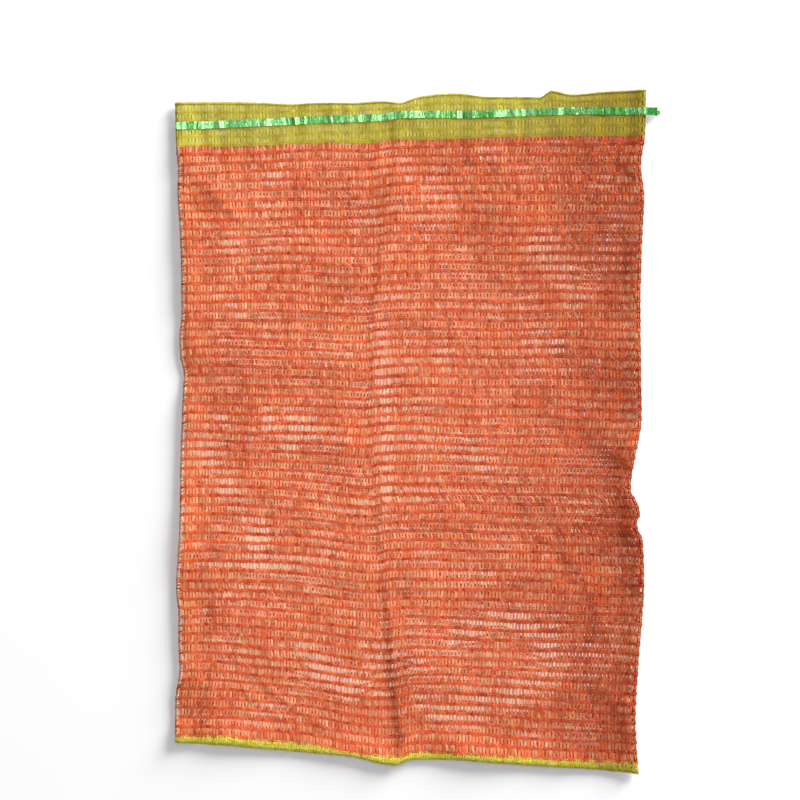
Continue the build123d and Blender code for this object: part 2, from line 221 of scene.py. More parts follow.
# lower right creases
relief += ridge([(108, -62), (128, -98), (146, -132)], 1.5, 6.5, 20)
relief += ridge([(145, -72), (154, -116), (186, -170), (194, -208), (181, -262)], 2.0, 8.0, 25)
relief += ledge([(145, -72), (154, -116), (186, -170), (194, -208), (181, -262)], 0.8, 7.0, 25, 25)
relief += ridge([(146, -136), (118, -156), (104, -168)], 1.8, 5.0, 12)
relief += ridge([(236, -62), (205, -84), (176, -92), (150, -118)], 2.8, 6.0, 14)
relief += ridge([(240, -98), (214, -112), (192, -128)], 2.2, 5.0, 12)
relief -= ridge([(232, -52), (196, -60), (160, -78)], 1.4, 8.0, 14)
relief += ridge([(238, -300), (205, -282), (182, -262)], 2.0, 7.0, 15)
relief -= ridge([(150, -262), (185, -280), (200, -322)], 1.6, 10.0, 20)
# bottom left diagonals
relief += ridge([(-178, -258), (-140, -290), (-98, -318), (-84, -330)], 2.0, 4.5, 20)
relief += ridge([(-196, -270), (-160, -298), (-118, -322)], 1.4, 5.0, 20)
# upper corners
relief += ridge([(-250, 286), (-225, 262), (-200, 236), (-180, 214)], 1.8, 6.0, 20)
relief += ridge([(-246, 240), (-222, 200), (-200, 178)], 1.2, 8.0, 20)
relief += ridge([(132, 300), (142, 262), (118, 232), (90, 218)], 1.6, 6.0, 20)
relief += ridge([(240, 262), (205, 240), (186, 226), (168, 190)], 2.2, 8.0, 20)
relief += ridge([(240, 196), (200, 196), (176, 172), (182, 132)], 1.8, 8.0, 20)
relief *= 0.54
relief += 0.42 * noise_field(11, 42) + 0.12 * noise_field(12, 18)
relief += 0.10 * noise_field(13, 10, 40) + 0.10 * noise_field(14, 60, 9)
# gathers across the band, small while the mouth is open
band_zone = np.clip((gy - 240.0) / 80.0, 0, 1) ** 1.5
gather = np.sin(gx / 26.0 * 2 * math.pi + 1.9 * noise_field(15, 50, 120))
relief += 0.45 * gather * band_zone

Z_BACK = 0.75           # lowest level of the back layer's middle surface
lift = np.clip(0.8 * noise_field(21, 70) + 0.3, 0, 2.2)   # where the cloth leaves the floor
back_z = Z_BACK + 0.6 * lift
front_z = np.maximum(back_z + 3.0 - 0.9 * np.clip((gy - 290.0) / 20.0, 0, 1) + 0.45 * np.clip(noise_field(22, 45), -2, 2.5) + relief,
                     back_z + 1.3)


def edge_distance(x, y):
    """mm from the nearer side edge of the cloth."""
    return np.minimum(x - left_x(y), right_x(y) - x)


edge_d = edge_distance(gx, gy)
mouth_d = mouth_y(gx) - gy
hem_d = gy - hem_bot_y(gx)
# the cloth stands a little proud beside its folded and sewn sides
side_lift = np.clip(5.2 * np.exp(-((edge_d - 4.0) / 14.0) ** 2) * (0.85 + 0.25 * noise_field(31, 50)), 0, 7.0)
hem_lift = np.clip(5.0 * np.exp(-((hem_d - 4.0) / 16.0) ** 2) * (0.85 + 0.25 * noise_field(32, 60)), 0, 7.0)
mouth_lift = np.clip(1.6 * np.exp(-(mouth_d / 22.0) ** 2) * (0.6 + 0.5 * noise_field(33, 45)), 0, 3.5)
front_z = front_z + side_lift + hem_lift + mouth_lift
back_z = back_z + 0.45 * side_lift + 0.45 * hem_lift + 0.25 * mouth_lift

# Where the two layers' stitches lie over each other the slits show the floor; elsewhere the
# back layer is out of step and closes them.
match = np.zeros(gx.shape)
for points, width, strength in [
        ([(-158, 284), (-132, 262)], 15, 1.0), ([(-68, 290), (-46, 262)], 13, 0.7),
        ([(24, 284), (38, 270)], 20, 1.2), ([(70, 300), (120, 294)], 10, 0.5),
        ([(190, 250), (204, 236)], 12, 0.7), ([(70, 206), (96, 196)], 11, 0.6),
        ([(-212, 214), (-184, 180)], 14, 1.1), ([(-128, 228), (-110, 194)], 12, 0.7),
        ([(-80, 186), (-52, 222)], 11, 0.6), ([(-226, 158), (-166, 116)], 14, 0.9),
        ([(-12, 152), (40, 150)], 11, 0.5), ([(192, 178), (194, 132)], 11, 0.5),
        ([(-28, 120), (-28, 40), (-25, -105)], 11, 0.9), ([(158, 106), (154, 66)], 11, 0.6),
        ([(-200, 28), (-224, -20), (-196, -70), (-160, -104), (-170, -140)], 14, 0.95),
        ([(-170, 8), (-96, 4)], 17, 1.0), ([(-150, -18), (-110, -22)], 14, 0.9),
        ([(62, 6), (78, -62)], 14, 0.8), ([(-238, -146), (-130, -144), (-60, -130)], 8, 0.7),
        ([(-236, -198), (-190, -192)], 10, 0.7), ([(-130, -222), (-96, -256), (-42, -284)], 19, 1.15),
        ([(24, -160), (104, -162)], 12, 0.7),
        ([(-6, -258), (40, -226), (100, -198), (146, -214), (146, -264), (76, -300), (8, -308)], 15, 0.78),
        ([(-2, -262), (10, -268)], 20, 1.1), ([(10, -276), (20, -306)], 15, 0.9), ([(-130, 300), (-60, 296)], 9, 0.4)]:
    match = np.maximum(match, 0.92 * strength * ridge([(x - 7.5, y) for x, y in points], 1.0, width * 1.2, 14.0))
match = np.clip(match * (1 + 0.22 * noise_field(40, 20)) + 0.04 * noise_field(49, 18, 10), 0, 1)
off = 1 - match
near_ends = np.exp(-np.maximum(hem_d - 8.0, 0) / 9.0) + 0.6 * np.exp(-np.abs(band_y(gx) - gy) / 7.0)
near_ends *= (gy > hem_top_y(gx) - 1.0) & (gy < band_y(gx) + 1.0)
slip_y = off * (5.0 + 0.7 * noise_field(43, 60, 46)) + 0.35 * noise_field(44, 30)
slip_x = off * (1.8 + 0.30 * noise_field(41, 50)) + 0.16 * noise_field(42, 26)
wave_x = 0.40 * noise_field(45, 34) + 0.10 * noise_field(46, 12)
wave_y = 0.95 * noise_field(47, 95, 44) + 0.16 * noise_field(48, 34, 18)

# tone of the cloth with painted light and shade: slow random tone changes; darker where the rows bunch near the hem
# and band; painted shade, duller and browner, to the right, in a strip along the left edge and in the listed patches;
# painted light on the left
tone_and_painted_shade = (-0.6 * near_ends + 0.18 * noise_field(51, 70) + 0.10 * noise_field(52, 22)
         - 1.1 / (1 + np.exp(-(gx - 175.0) / 22.0)) * (0.8 + 0.3 * noise_field(53, 40))
         - 0.55 * np.clip((gx - 20.0) / 170.0, 0, 1)
         + 0.35 * np.clip((-60.0 - gx) / 150.0, 0, 1)
         - 0.7 * np.exp(-((gx + 252.0) / 60.0) ** 2) * (gy < band_y(gx)))
# painted shade: listed dark patches beside creases, the low fold and the right side
for x, y, rx, ry, k in [(205, 205, 28, 60, 0.4), (212, 82, 30, 10, 0.4), (204, -42, 32, 16, 0.4),
                        (200, -128, 34, 18, 0.5), (196, -268, 26, 60, 0.5), (-19, -290, 9, 80, 0.9),
                        (-225, 246, 22, 10, 0.5), (150, 230, 130, 130, 0.35), (-232, -290, 18, 26, 0.4), (-120, -322, 80, 14, 0.4),
                        (140, 64, 10, 40, 0.3), (225, 330, 30, 40, 0.3)]:
    tone_and_painted_shade -= k * np.exp(-((gx - x) / rx) ** 2 - ((gy - y) / ry) ** 2)

ROWS, COLS = 64, 138
WALE = 3.6
ROW = 10.2


def across(u):
    """Share of the width at share u of the stitches: they are a little wider on the right."""
    return u - 0.064 * u * (1 - u)


def smooth_line(f, soft):
    q = np.linspace(-270, 260, 900)
    v = f(q)
    n = int(soft / (q[1] - q[0]) * 3)
    k = np.exp(-0.5 * (np.linspace(-3, 3, 2 * n + 1)) ** 2)
    k /= k.sum()
    v = np.convolve(np.pad(v, n, "edge"), k, "valid")
    return lambda x: np.interp(x, q, v)


hem_soft = smooth_line(hem_top_y, 34.0)
band_soft = smooth_line(band_y, 9.0)


fold_x = curve_of([(x - SHIFT[0], y - SHIFT[1]) for x, y in
                   [(-24, 372), (-24, 312), (-29, 258), (-40, 182), (-47, 120), (-49, 22), (-43, -52),
                    (-38, -112), (-31, -180), (-22, -266), (-14, -337), (-14, -375)]], 1)


def body_point(u, v):
    """Point in mm of the body cloth at share u of the stitches and v of the rows, 0 at the hem."""
    x = -5.0 + 500.0 * (across(u) - 0.5)
    for _ in range(3):
        lo, hi = hem_top_y(x), band_y(x)
        los, his = hem_soft(x), band_soft(x)
        y = los + (his - los) * v
        y = y + (lo - los) * np.exp(-np.maximum(y - los, 0) / 70.0) + (hi - his) * np.exp(-np.maximum(his - y, 0) / 50.0)
        a, b = left_x(y), right_x(y)
        x = a + (b - a) * across(u)
    # the rows step up across the packing fold
    d = x - fold_x(y)
    wide = 3.0 + 6.0 * np.clip((-100.0 - y) / 200.0, 0, 1)
    step = 2.0 * np.tanh(d / wide) * np.exp(-(d / 75.0) ** 2)
    y = y + step * np.clip((y - hem_top_y(x)) / 60.0, 0, 1) * np.clip(1.15 - v, 0, 1)
    return x, y


TAPE_BOW = [(-260, 0.0), (-187, 0.9), (-98, 2.4), (-55, 2.2), (-38, 2.6), (-18, 5.0), (16, 4.2),
            (55, 2.8), (130, 3.0), (166, 3.3), (215, 1.4), (241, 0.2), (262, 0.0)]
run_lo, run_hi = (np.array(c) * 1000.0 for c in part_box("drawstring_front_run"))
TAPE_ANGLE = math.atan2(343.98 - 328.28, 248.3 + 252.6)
TAPE_HALF = 3.5
TAPE_FLAT = 3.85          # half width of the film where the knit presses it flat


def tape_line(x):
    """Height in mm of the drawstring's middle line, straight but for a small bow in the cloth."""
    y0 = run_lo[1] + TAPE_HALF * math.cos(TAPE_ANGLE) - 0.8
    return y0 + (x - run_lo[0]) * math.tan(TAPE_ANGLE) + np.interp(x, *zip(*TAPE_BOW))


def band_point(u, v):
    """Point in mm of the mouth band, v from 0 at the body to 1 at the mouth, 0.5 on the tape."""
    x = -5.0 + 500.0 * (across(u) - 0.5)
    for _ in range(3):
        mid = tape_line(x)
        v = v if np.ndim(v) else np.array([v])
        y = np.where(v < 0.5, band_y(x) + (mid - band_y(x)) * v * 2,
                     mid + (mouth_y(x) - 1.9 - mid) * (v * 2 - 1))
        a, b = left_x(y), right_x(y)
        x = a + (b - a) * across(u)
    return x, y


def hem_point(u, v):
    x = -5.0 + 500.0 * (across(u) - 0.5)
    for _ in range(3):
        y = hem_bot_y(x) + (hem_top_y(x) - hem_bot_y(x)) * v
        a, b = left_x(y), right_x(y)
        x = a + (b - a) * across(u)
    return x, y


EDGE_R = 4.5


def settle(x, y, w, layer, slip=True, extra=0.0):
    """World points in mm of cloth points (x, y) at w above the layer's middle surface."""
    d = edge_distance(x, y)
    inside = np.clip(d / 25.0, 0, 1)
    wx, wy = look_up(wave_x, x, y) * inside, look_up(wave_y, x, y) * np.clip(d / 10, 0.15, 1)
    if layer == "back":
        sx = look_up(slip_x, x, y) * inside if slip else 0
        sy = look_up(slip_y, x, y) * np.clip(d / 8.0, 0.3, 1) if slip else 0
        step = 2 * np.clip(look_up(match, x, y) * 1.15, 0, 1) - 1 if slip else -1
        wx, wy = wx * step + sx, wy * step + sy
    near_mouth = np.clip((mouth_y(x) - y) / 30.0, 0.0, 1)
    near_hem = np.clip((y - hem_bot_y(x)) / 30.0, 0.0, 1)
    px, py = x + wx, y + wy * near_mouth * near_hem
    zf, zb = look_up(front_z, px, py), look_up(back_z, px, py)
    mid = (zf + zb) / 2
    # round over at the sides, where the front layer turns into the back one
    t = np.clip(1 - d / EDGE_R, 0, 1)
    lift_ = np.sqrt(np.clip(1 - t * t, 0, 1))
    t2 = np.clip(1 - (y - hem_bot_y(x)) / 3.5, 0, 1)
    lift_ = lift_ * np.sqrt(np.clip(1 - 0.7 * t2 * t2, 0, 1))
    z = mid + (zf - mid) * lift_ if layer == "front" else mid - (mid - zb) * lift_
    grid = front_z if layer == "front" else back_z
    e = 1.5
    sx_ = (look_up(grid, px + e, py) - look_up(grid, px - e, py)) / (2 * e)
    sy_ = (look_up(grid, px, py + e) - look_up(grid, px, py - e)) / (2 * e)
    ex = np.where(d < EDGE_R, np.where(x > 0, 1.0, -1.0) * t * 1.1, 0.0)
    sign = 1.0 if layer == "front" else -1.0
    nx, ny, nz = -sx_ + ex * sign, -sy_, np.ones_like(x)
    n = np.sqrt(nx * nx + ny * ny + nz * nz)
    w = w + extra
    return np.stack([px + nx / n * w, py + ny / n * w, z + nz / n * w], -1)


# ------------------------------------------------------------------ meshes
def quad_mesh(name, verts, quads, tint=None, smooth=True, flat_from=None):
    """A mesh object in metres from quads, with a top-down map for baking and a tint per point."""
    me = bpy.data.meshes.new(name)
    v = np.asarray(verts, np.float32).reshape(-1, 3) * MM
    v[:, 2] = np.maximum(v[:, 2], 0.0)
    q = np.asarray(quads, np.int32).reshape(-1, 4)
    me.vertices.add(len(v))
    me.vertices.foreach_set("co", v.ravel())
    me.loops.add(len(q) * 4)
    me.loops.foreach_set("vertex_index", q.ravel())
    me.polygons.add(len(q))
    me.polygons.foreach_set("loop_start", np.arange(0, len(q) * 4, 4, dtype=np.int32))
    me.update(calc_edges=True)
    soft = np.full(len(q), smooth)
    if flat_from is not None:
        soft[flat_from:] = False
    me.polygons.foreach_set("use_smooth", soft)
    uv = me.uv_layers.new(name="OFBake")
    lo, hi = v.min(0), v.max(0)
    span = max(hi[0] - lo[0], 1e-6), max(hi[1] - lo[1], 1e-6)
    at = np.stack([(v[:, 0] - lo[0]) / span[0], (v[:, 1] - lo[1]) / span[1]], -1) * 0.98 + 0.01
    uv.data.foreach_set("uv", at[q.ravel()].astype(np.float32).ravel())
    if tint is not None:
        a = me.attributes.new("tint", "FLOAT", "POINT")
        a.data.foreach_set("value", np.asarray(tint, np.float32))
    # per-point tone and painted shade of the cloth, read from its field
    a = me.attributes.new("tone_and_painted_shade", "FLOAT", "POINT")
    a.data.foreach_set("value", look_up(tone_and_painted_shade, v[:, 0] / MM, v[:, 1] / MM).astype(np.float32))
    ob = bpy.data.objects.new(name, me)
    scene.collection.objects.link(ob)
    return ob


def strand(path, half_w, half_t, roll=None):
    """Local points (n, 4, 3) of a flat yarn along path (n, 3): width lies in the cloth's plane."""
    p = np.asarray(path, float)
    t = np.gradient(p, axis=0)
    t /= np.linalg.norm(t, axis=1)[:, None]
    up = np.array([0.0, 0.0, 1.0])
    side = np.cross(up, t)
    side /= np.linalg.norm(side, axis=1)[:, None] + 1e-9
    nor = np.cross(t, side)
    hw = np.broadcast_to(half_w, len(p))[:, None]
    ht = np.broadcast_to(half_t, len(p))[:, None]
    if roll is not None:
        c, s = np.cos(roll)[:, None], np.sin(roll)[:, None]
        side, nor = side * c + nor * s, nor * c - side * s
    return np.stack([p + side * hw, p + nor * ht, p - side * hw, p - nor * ht], 1)


def strand_quads(n):
    """Quads of one closed strand of n sections with 4 corners each."""
    q = []
    for i in range(n - 1):
        for k in range(4):
            a, b = i * 4 + k, i * 4 + (k + 1) % 4
            q.append((a, b, b + 4, a + 4))
    q.append((3, 2, 1, 0))
    e = (n - 1) * 4
    q.append((e, e + 1, e + 2, e + 3))
    return np.array(q)


def loop_path(half_h, reach, height, n=9):
    """A knitted loop lying along +x: from its foot, round its head and back, in mm."""
    a = np.linspace(0, 1, n)
    ang = a * 2 * math.pi
    x = reach * 0.5 * (1 - np.cos(ang)) * (0.94 + 0.06 * np.cos(ang))
    y = half_h * np.sin(ang) * (0.72 + 0.28 * np.cos(ang) * -1)
    z = height * (np.sin(a * math.pi) ** 0.8) - 0.12
    return np.stack([x, y, z], -1)


def knit(name, point, rows, cols, layer, seed, row_ids, loop, rung, extra=0.0,
         rows_total=None, loops=True, rungs=True, slip=True, col_shift=0.0, col_ids=None):
    """One piece of ladder knit: for each row in row_ids a chain of loops and the rungs up to the next row.
    loop and rung are dicts of yarn sizes in mm. point maps (u, v) to the cloth."""
    rng = np.random.default_rng(seed)
    rows_total = rows_total or rows
    pitch_y = row_height[point]
    verts, quads, tints, base = [], [], [], 0
    R = np.array(row_ids, float)
    C = (np.arange(cols, dtype=float) if col_ids is None else np.array(col_ids, float)) + col_shift
    rr, cc = np.meshgrid(R, C, indexing="ij")
    rr, cc = rr.ravel(), cc.ravel()
    n = len(rr)
    jx, jy, jz = (rng.normal(0, s, n) for s in (0.10, 0.16, 0.05))
    # long, slow waves of each row, so that no two rows are alike
    row_wave = np.random.default_rng(7).normal(0, 1, (4, ROWS + 3))
    wave = (0.14 * np.sin(cc / 9.0 + row_wave[0][rr.astype(int)] * 6)
            + 0.10 * np.sin(cc / 4.1 + row_wave[1][rr.astype(int)] * 6))

    def place(local, r, c, tint, ht):
        """local (n, m, 3): mm along the row, across it and out of the cloth, from cell (r, c)."""
        u = (c[:, None] + 0.0 + local[..., 0] / WALE) / cols
        v = (r[:, None] + local[..., 1] / pitch_y) / rows_total
        u = np.clip(u, 0.0, 1.0)
        x, y = point(u.ravel(), v.ravel())
        w = local[..., 2].ravel()
        return settle(x, y, w, layer, slip, extra)

    if loops:
        kinds = 3
        for kind in range(kinds):
            pick = rng.integers(0, kinds, n) == kind if kind == 0 else None
            if kind == 0:
                which = rng.integers(0, kinds, n)
            sel = which == kind
            path = loop_path(loop["half_h"] * (1 + 0.10 * (kind - 1)), loop["reach"] * (1 + 0.05 * (1 - kind)), loop["height"] * (1 + 0.2 * (kind - 1)), loop.get("n", 9))
            m = len(path)
            roll = np.sin(np.linspace(0, 2 * math.pi, m) + kind * 2.1) * loop.get("roll", 0.5)
            st = strand(path, loop["w"] / 2, loop["t"] / 2, roll).reshape(-1, 3)
            k = int(sel.sum())
            if not k:
                continue
            local = np.repeat(st[None], k, 0).copy()
            local[..., 0] += jx[sel][:, None]
            local[..., 1] = local[..., 1] * (1 + 0.08 * rng.normal(0, 1, k))[:, None] + (jy[sel] + wave[sel])[:, None]
            local[..., 2] = local[..., 2] * (1 + 0.25 * rng.normal(0, 1, k))[:, None] + jz[sel][:, None]
            pts = place(local, rr[sel], cc[sel], None, None)
            q = strand_quads(m)
            verts.append(pts)
            quads.append((q[None] + (base + np.arange(k) * m * 4)[:, None, None]).reshape(-1, 4))
            base += k * m * 4
            tints.append(np.repeat(rng.normal(loop.get("tint", 0.0), 0.8, k), m * 4))
    flat_from = sum(len(q_) for q_ in quads)
    if rungs:
        keep = rr < rows_total - 0.5
        k = int(keep.sum())
        m = rung.get("n", 4)
        s = np.linspace(0, 1, m)
        lo, hi = rung["from"], rung["to"]
        t = (lo + (hi - lo) * s)[None, :].repeat(k, 0) + rng.normal(0, 0.15, (k, 1))
        alt = np.where(cc[keep].astype(int) % 2 == 0, 1.0, -1.0)
        lean = alt * rung["lean"] + rng.normal(0, rung["jitter"], k)
        bow = rng.normal(0, rung["jitter"] * 0.8, k)
        x = WALE * 0.5 + (s[None] - 0.5) * lean[:, None] + np.sin(s * math.pi)[None] * bow[:, None] + alt[:, None] * rung.get("pair", 0.0)
        z = rung["z"] + np.sin(s * math.pi)[None] * rng.normal(rung.get("bulge", 0.0), 0.12, k)[:, None]
        xm, ym = point((cc[keep] + 0.5) / cols, np.clip((rr[keep] + 0.5) / rows_total, 0, 1))
        shut = look_up(off, xm, ym) + rung.get("ends", 0.0) * look_up(near_ends, xm, ym)
        wide = rung["w"] + rung.get("shut", 0.0) * shut + rung.get("edge", 0.0) * np.exp(-(edge_distance(xm, ym) / 26.0) ** 2)
        half = (wide / 2 * (1 + rng.normal(0, rung.get("vary", 0.08), k)))[:, None] * (1 - rung.get("waist", 0.08) * np.sin(s * math.pi))[None]
        twist = (rng.normal(0, 1, (k, 1)) + rng.normal(0, 0.8, (k, 1)) * (s[None] - 0.5) * 2) * rung.get("twist", 0.35)
        hw, ht = half, rung["t"] / 2
        cs, sn = np.cos(twist), np.sin(twist)
        local = np.zeros((k, m, 4, 3))
        for i, (a, b) in enumerate([(1, 0), (0, 1), (-1, 0), (0, -1)]):
            dx = a * hw * cs - b * ht * sn
            dz = a * hw * sn + b * ht * cs
            local[:, :, i, 0] = x + dx
            local[:, :, i, 1] = t + (jy[keep] + wave[keep])[:, None] * (1 - s)[None]
            local[:, :, i, 2] = z + dz
        local = local[:, :, ::-1]
        pts = place(local.reshape(k, m * 4, 3), rr[keep], cc[keep], None, None)
        q = strand_quads(m)
        verts.append(pts)
        quads.append((q[None] + (base + np.arange(k) * m * 4)[:, None, None]).reshape(-1, 4))
        base += k * m * 4
        tints.append(np.repeat(rng.normal(rung.get("tint", 1.3), rung.get("spread", 0.7), k) - rung.get("fade", 0.0) * shut, m * 4))
    return quad_mesh(name, np.concatenate(verts), np.concatenate(quads), np.concatenate(tints),
                     flat_from=0 if rung.get("flat", True) else None)


row_height = {body_point: ROW, band_point: 48.0 / 5, hem_point: 8.5 / 2}

# ------------------------------------------------------------------ materials
def new_material(name):
    m = bpy.data.materials.new(name)
    m.use_nodes = True
    nt = m.node_tree
    nt.nodes.clear()
    out = nt.nodes.new("ShaderNodeOutputMaterial")
    return m, nt, out


def mix_rgb(nt, a, b, fac, blend="MIX"):
    n = nt.nodes.new("ShaderNodeMix")
    n.data_type = "RGBA"
    n.blend_type = blend
    for sock, val in ((n.inputs[0], fac), (n.inputs[6], a), (n.inputs[7], b)):
        if isinstance(val, bpy.types.NodeSocket):
            nt.links.new(val, sock)
        else:
            sock.default_value = val
    return n.outputs[2]


def math_node(nt, op, a, b=0.0, clamp=False):
    n = nt.nodes.new("ShaderNodeMath")
    n.operation = op
    n.use_clamp = clamp
    for sock, val in ((n.inputs[0], a), (n.inputs[1], b)):
        if isinstance(val, bpy.types.NodeSocket):
            nt.links.new(val, sock)
        else:
            sock.default_value = val
    return n.outputs[0]


def map_range(nt, v, a, b, c, d, smooth=False):
    n = nt.nodes.new("ShaderNodeMapRange")
    if smooth:
        n.interpolation_type = "SMOOTHSTEP"
    nt.links.new(v, n.inputs[0])
    for i, val in enumerate((a, b, c, d)):
        n.inputs[i + 1].default_value = val
    return n.outputs[0]


def noise_node(nt, coord, scale, detail=3.0, rough=0.55):
    n = nt.nodes.new("ShaderNodeTexNoise")
    n.inputs["Scale"].default_value = scale
    n.inputs["Detail"].default_value = detail
    n.inputs["Roughness"].default_value = rough
    nt.links.new(coord, n.inputs["Vector"])
    return n.outputs["Fac"]


def stretched(nt, coord, scale):
    n = nt.nodes.new("ShaderNodeMapping")
    n.inputs["Scale"].default_value = scale
    nt.links.new(coord, n.inputs["Vector"])
    return n.outputs["Vector"]


def yarn_material(name, dark, mid, light, rough=(0.30, 0.52), through=0.40, spec=0.5, painted_shade_tint=(0.81, 0.72, 0.61)):
    """Slit plastic yarn: stitch by stitch tone, fine lengthwise streaks, slow tone changes over the cloth, and painted
    shade that makes the colour duller and browner where the per-point shade value is below zero.
    """
    m, nt, out = new_material(name)
    tc = nt.nodes.new("ShaderNodeTexCoord")
    co = tc.outputs["Object"]
    at = nt.nodes.new("ShaderNodeAttribute")
    at.attribute_name = "tint"
    tint = at.outputs["Fac"]
    tone_and_painted_shade_node = nt.nodes.new("ShaderNodeAttribute")
    tone_and_painted_shade_node.attribute_name = "tone_and_painted_shade"
    mid_n = noise_node(nt, co, 90.0, 2.0)
    fine = noise_node(nt, stretched(nt, co, (900.0, 2600.0, 900.0)), 1.0, 2.0)
    t = math_node(nt, "MULTIPLY", tint, 0.13)
    t = math_node(nt, "ADD", t, map_range(nt, mid_n, 0.3, 0.7, -0.08, 0.08))
    t = math_node(nt, "ADD", t, math_node(nt, "MULTIPLY", tone_and_painted_shade_node.outputs["Fac"], 0.08))
    t = math_node(nt, "ADD", t, map_range(nt, fine, 0.3, 0.7, -0.12, 0.12))
    t = math_node(nt, "ADD", t, 0.5, True)
    ramp = nt.nodes.new("ShaderNodeValToRGB")
    ramp.color_ramp.interpolation = "LINEAR"
    el = ramp.color_ramp.elements
    el[0].position, el[0].color = 0.08, (*dark, 1)
    el[1].position, el[1].color = 0.92, (*light, 1)
    e = el.new(0.46)
    e.color = (*mid, 1)
    e = el.new(0.60)
    e.color = tuple(m_ * 0.86 + l_ * 0.14 for m_, l_ in zip(mid, light)) + (1,)
    nt.links.new(t, ramp.inputs[0])
    # painted shade: below zero the per-point shade value multiplies the colour towards a duller, browner tint
    painted_shade_colour = mix_rgb(nt, ramp.outputs[0], (*painted_shade_tint, 1), 1.0, "MULTIPLY")
    colour = mix_rgb(nt, ramp.outputs[0], painted_shade_colour, map_range(nt, tone_and_painted_shade_node.outputs["Fac"], 0.0, -1.6, 0.0, 1.0))
    bsdf = nt.nodes.new("ShaderNodeBsdfPrincipled")
    nt.links.new(colour, bsdf.inputs["Base Color"])
    nt.links.new(map_range(nt, fine, 0.25, 0.75, rough[0], rough[1]), bsdf.inputs["Roughness"])
    bsdf.inputs["Specular IOR Level"].default_value = spec
    bump = nt.nodes.new("ShaderNodeBump")
    bump.inputs["Strength"].default_value = 0.35
    bump.inputs["Distance"].default_value = 0.0002
    nt.links.new(fine, bump.inputs["Height"])
    nt.links.new(bump.outputs[0], bsdf.inputs["Normal"])
    tr = nt.nodes.new("ShaderNodeBsdfTranslucent")
    nt.links.new(colour, tr.inputs["Color"])
    mx = nt.nodes.new("ShaderNodeMixShader")
    mx.inputs[0].default_value = through
    nt.links.new(bsdf.outputs[0], mx.inputs[1])
    nt.links.new(tr.outputs[0], mx.inputs[2])
    nt.links.new(mx.outputs[0], out.inputs["Surface"])
    return m


orange = yarn_material("orange_yarn", (0.58, 0.056, 0.008), (0.80, 0.150, 0.022), (0.83, 0.51, 0.27), through=0.56)
yellow = yarn_material("yellow_yarn", (0.53, 0.455, 0.008), (0.65, 0.575, 0.026), (0.76, 0.715, 0.22), through=0.6)
hem_yellow = yarn_material("hem_yarn", (0.44, 0.39, 0.004), (0.61, 0.56, 0.009), (0.74, 0.71, 0.10))
thread_mat = yarn_material("sewing_thread_yarn", (0.74, 0.66, 0.48), (0.90, 0.84, 0.68), (0.96, 0.94, 0.86), (0.5, 0.7), 0.35, 0.3)
hem_thread_mat = yarn_material("hem_thread_yarn", (0.62, 0.54, 0.10), (0.88, 0.82, 0.26), (0.96, 0.93, 0.55), (0.45, 0.65), 0.3, 0.35)
loop_mat = yarn_material("tape_loop_yarn", (0.12, 0.26, 0.03), (0.20, 0.42, 0.06), (0.34, 0.58, 0.12), (0.6, 0.8), 0.3, 0.1)


def tape_material():
    m, nt, out = new_material("green_tape_film")
    tc = nt.nodes.new("ShaderNodeTexCoord")
    co = tc.outputs["Object"]
    at = nt.nodes.new("ShaderNodeAttribute")
    at.attribute_name = "tint"
    fine = noise_node(nt, stretched(nt, co, (1300.0, 45.0, 45.0)), 1.0, 3.0)
    t = math_node(nt, "ADD", math_node(nt, "MULTIPLY", at.outputs["Fac"], 0.20), map_range(nt, fine, 0.25, 0.75, 0.32, 0.68), True)
    ramp = nt.nodes.new("ShaderNodeValToRGB")
    el = ramp.color_ramp.elements
    # the tint picks each facet's colour from dark green, partly painted shade, to a painted mint highlight at the
    # light end
    el[0].position, el[0].color = 0.05, (0.014, 0.12, 0.014, 1)
    el[1].position, el[1].color = 0.98, (0.44, 0.90, 0.38, 1)
    e = el.new(0.5)
    e.color = (0.052, 0.32, 0.046, 1)
    nt.links.new(t, ramp.inputs[0])
    bsdf = nt.nodes.new("ShaderNodeBsdfPrincipled")
    nt.links.new(ramp.outputs[0], bsdf.inputs["Base Color"])
    nt.links.new(map_range(nt, fine, 0.2, 0.8, 0.16, 0.34), bsdf.inputs["Roughness"])
    bsdf.inputs["Specular IOR Level"].default_value = 0.4
    bsdf.inputs["Coat Weight"].default_value = 0.08
    bsdf.inputs["Coat Roughness"].default_value = 0.26
    bump = nt.nodes.new("ShaderNodeBump")
    bump.inputs["Strength"].default_value = 0.5
    bump.inputs["Distance"].default_value = 0.0003
    nt.links.new(fine, bump.inputs["Height"])
    nt.links.new(bump.outputs[0], bsdf.inputs["Normal"])
    nt.links.new(bsdf.outputs[0], out.inputs["Surface"])
    return m


tape_mat = tape_material()

LOOP = {"half_h": 1.45, "reach": 4.9, "height": 0.46, "w": 1.7, "t": 0.26, "n": 9, "roll": 0.25, "tint": -0.7}
RUNG = {"from": 1.4, "to": ROW - 1.4, "w": 2.0, "shut": 0.40, "edge": 0.6, "vary": 0.12, "t": 0.16, "lean": 0.45, "jitter": 0.20, "tint": 2.55, "spread": 0.45,
        "fade": 0.5, "ends": 2.2, "z": -0.22, "bulge": 0.10, "n": 4, "twist": 0.15, "pair": 0.10}


def add_piece(ob, mat, nodes, gather_it=True):
    ob.data.materials.append(mat)
    if nodes:
        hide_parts(*nodes)
    if gather_it:
        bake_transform(ob)
    else:
        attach(ob, "bag")
    return ob


def join_meshes(name, parts):
    """One mesh object from (verts, quads, tint) parts."""
    base, vs, qs, ts = 0, [], [], []
    for v, q, t in parts:
        vs.append(np.asarray(v, float).reshape(-1, 3))
        qs.append(np.asarray(q) + base)
        ts.append(np.broadcast_to(t, len(vs[-1])))
        base += len(vs[-1])
    return quad_mesh(name, np.concatenate(vs), np.concatenate(qs), np.concatenate(ts))


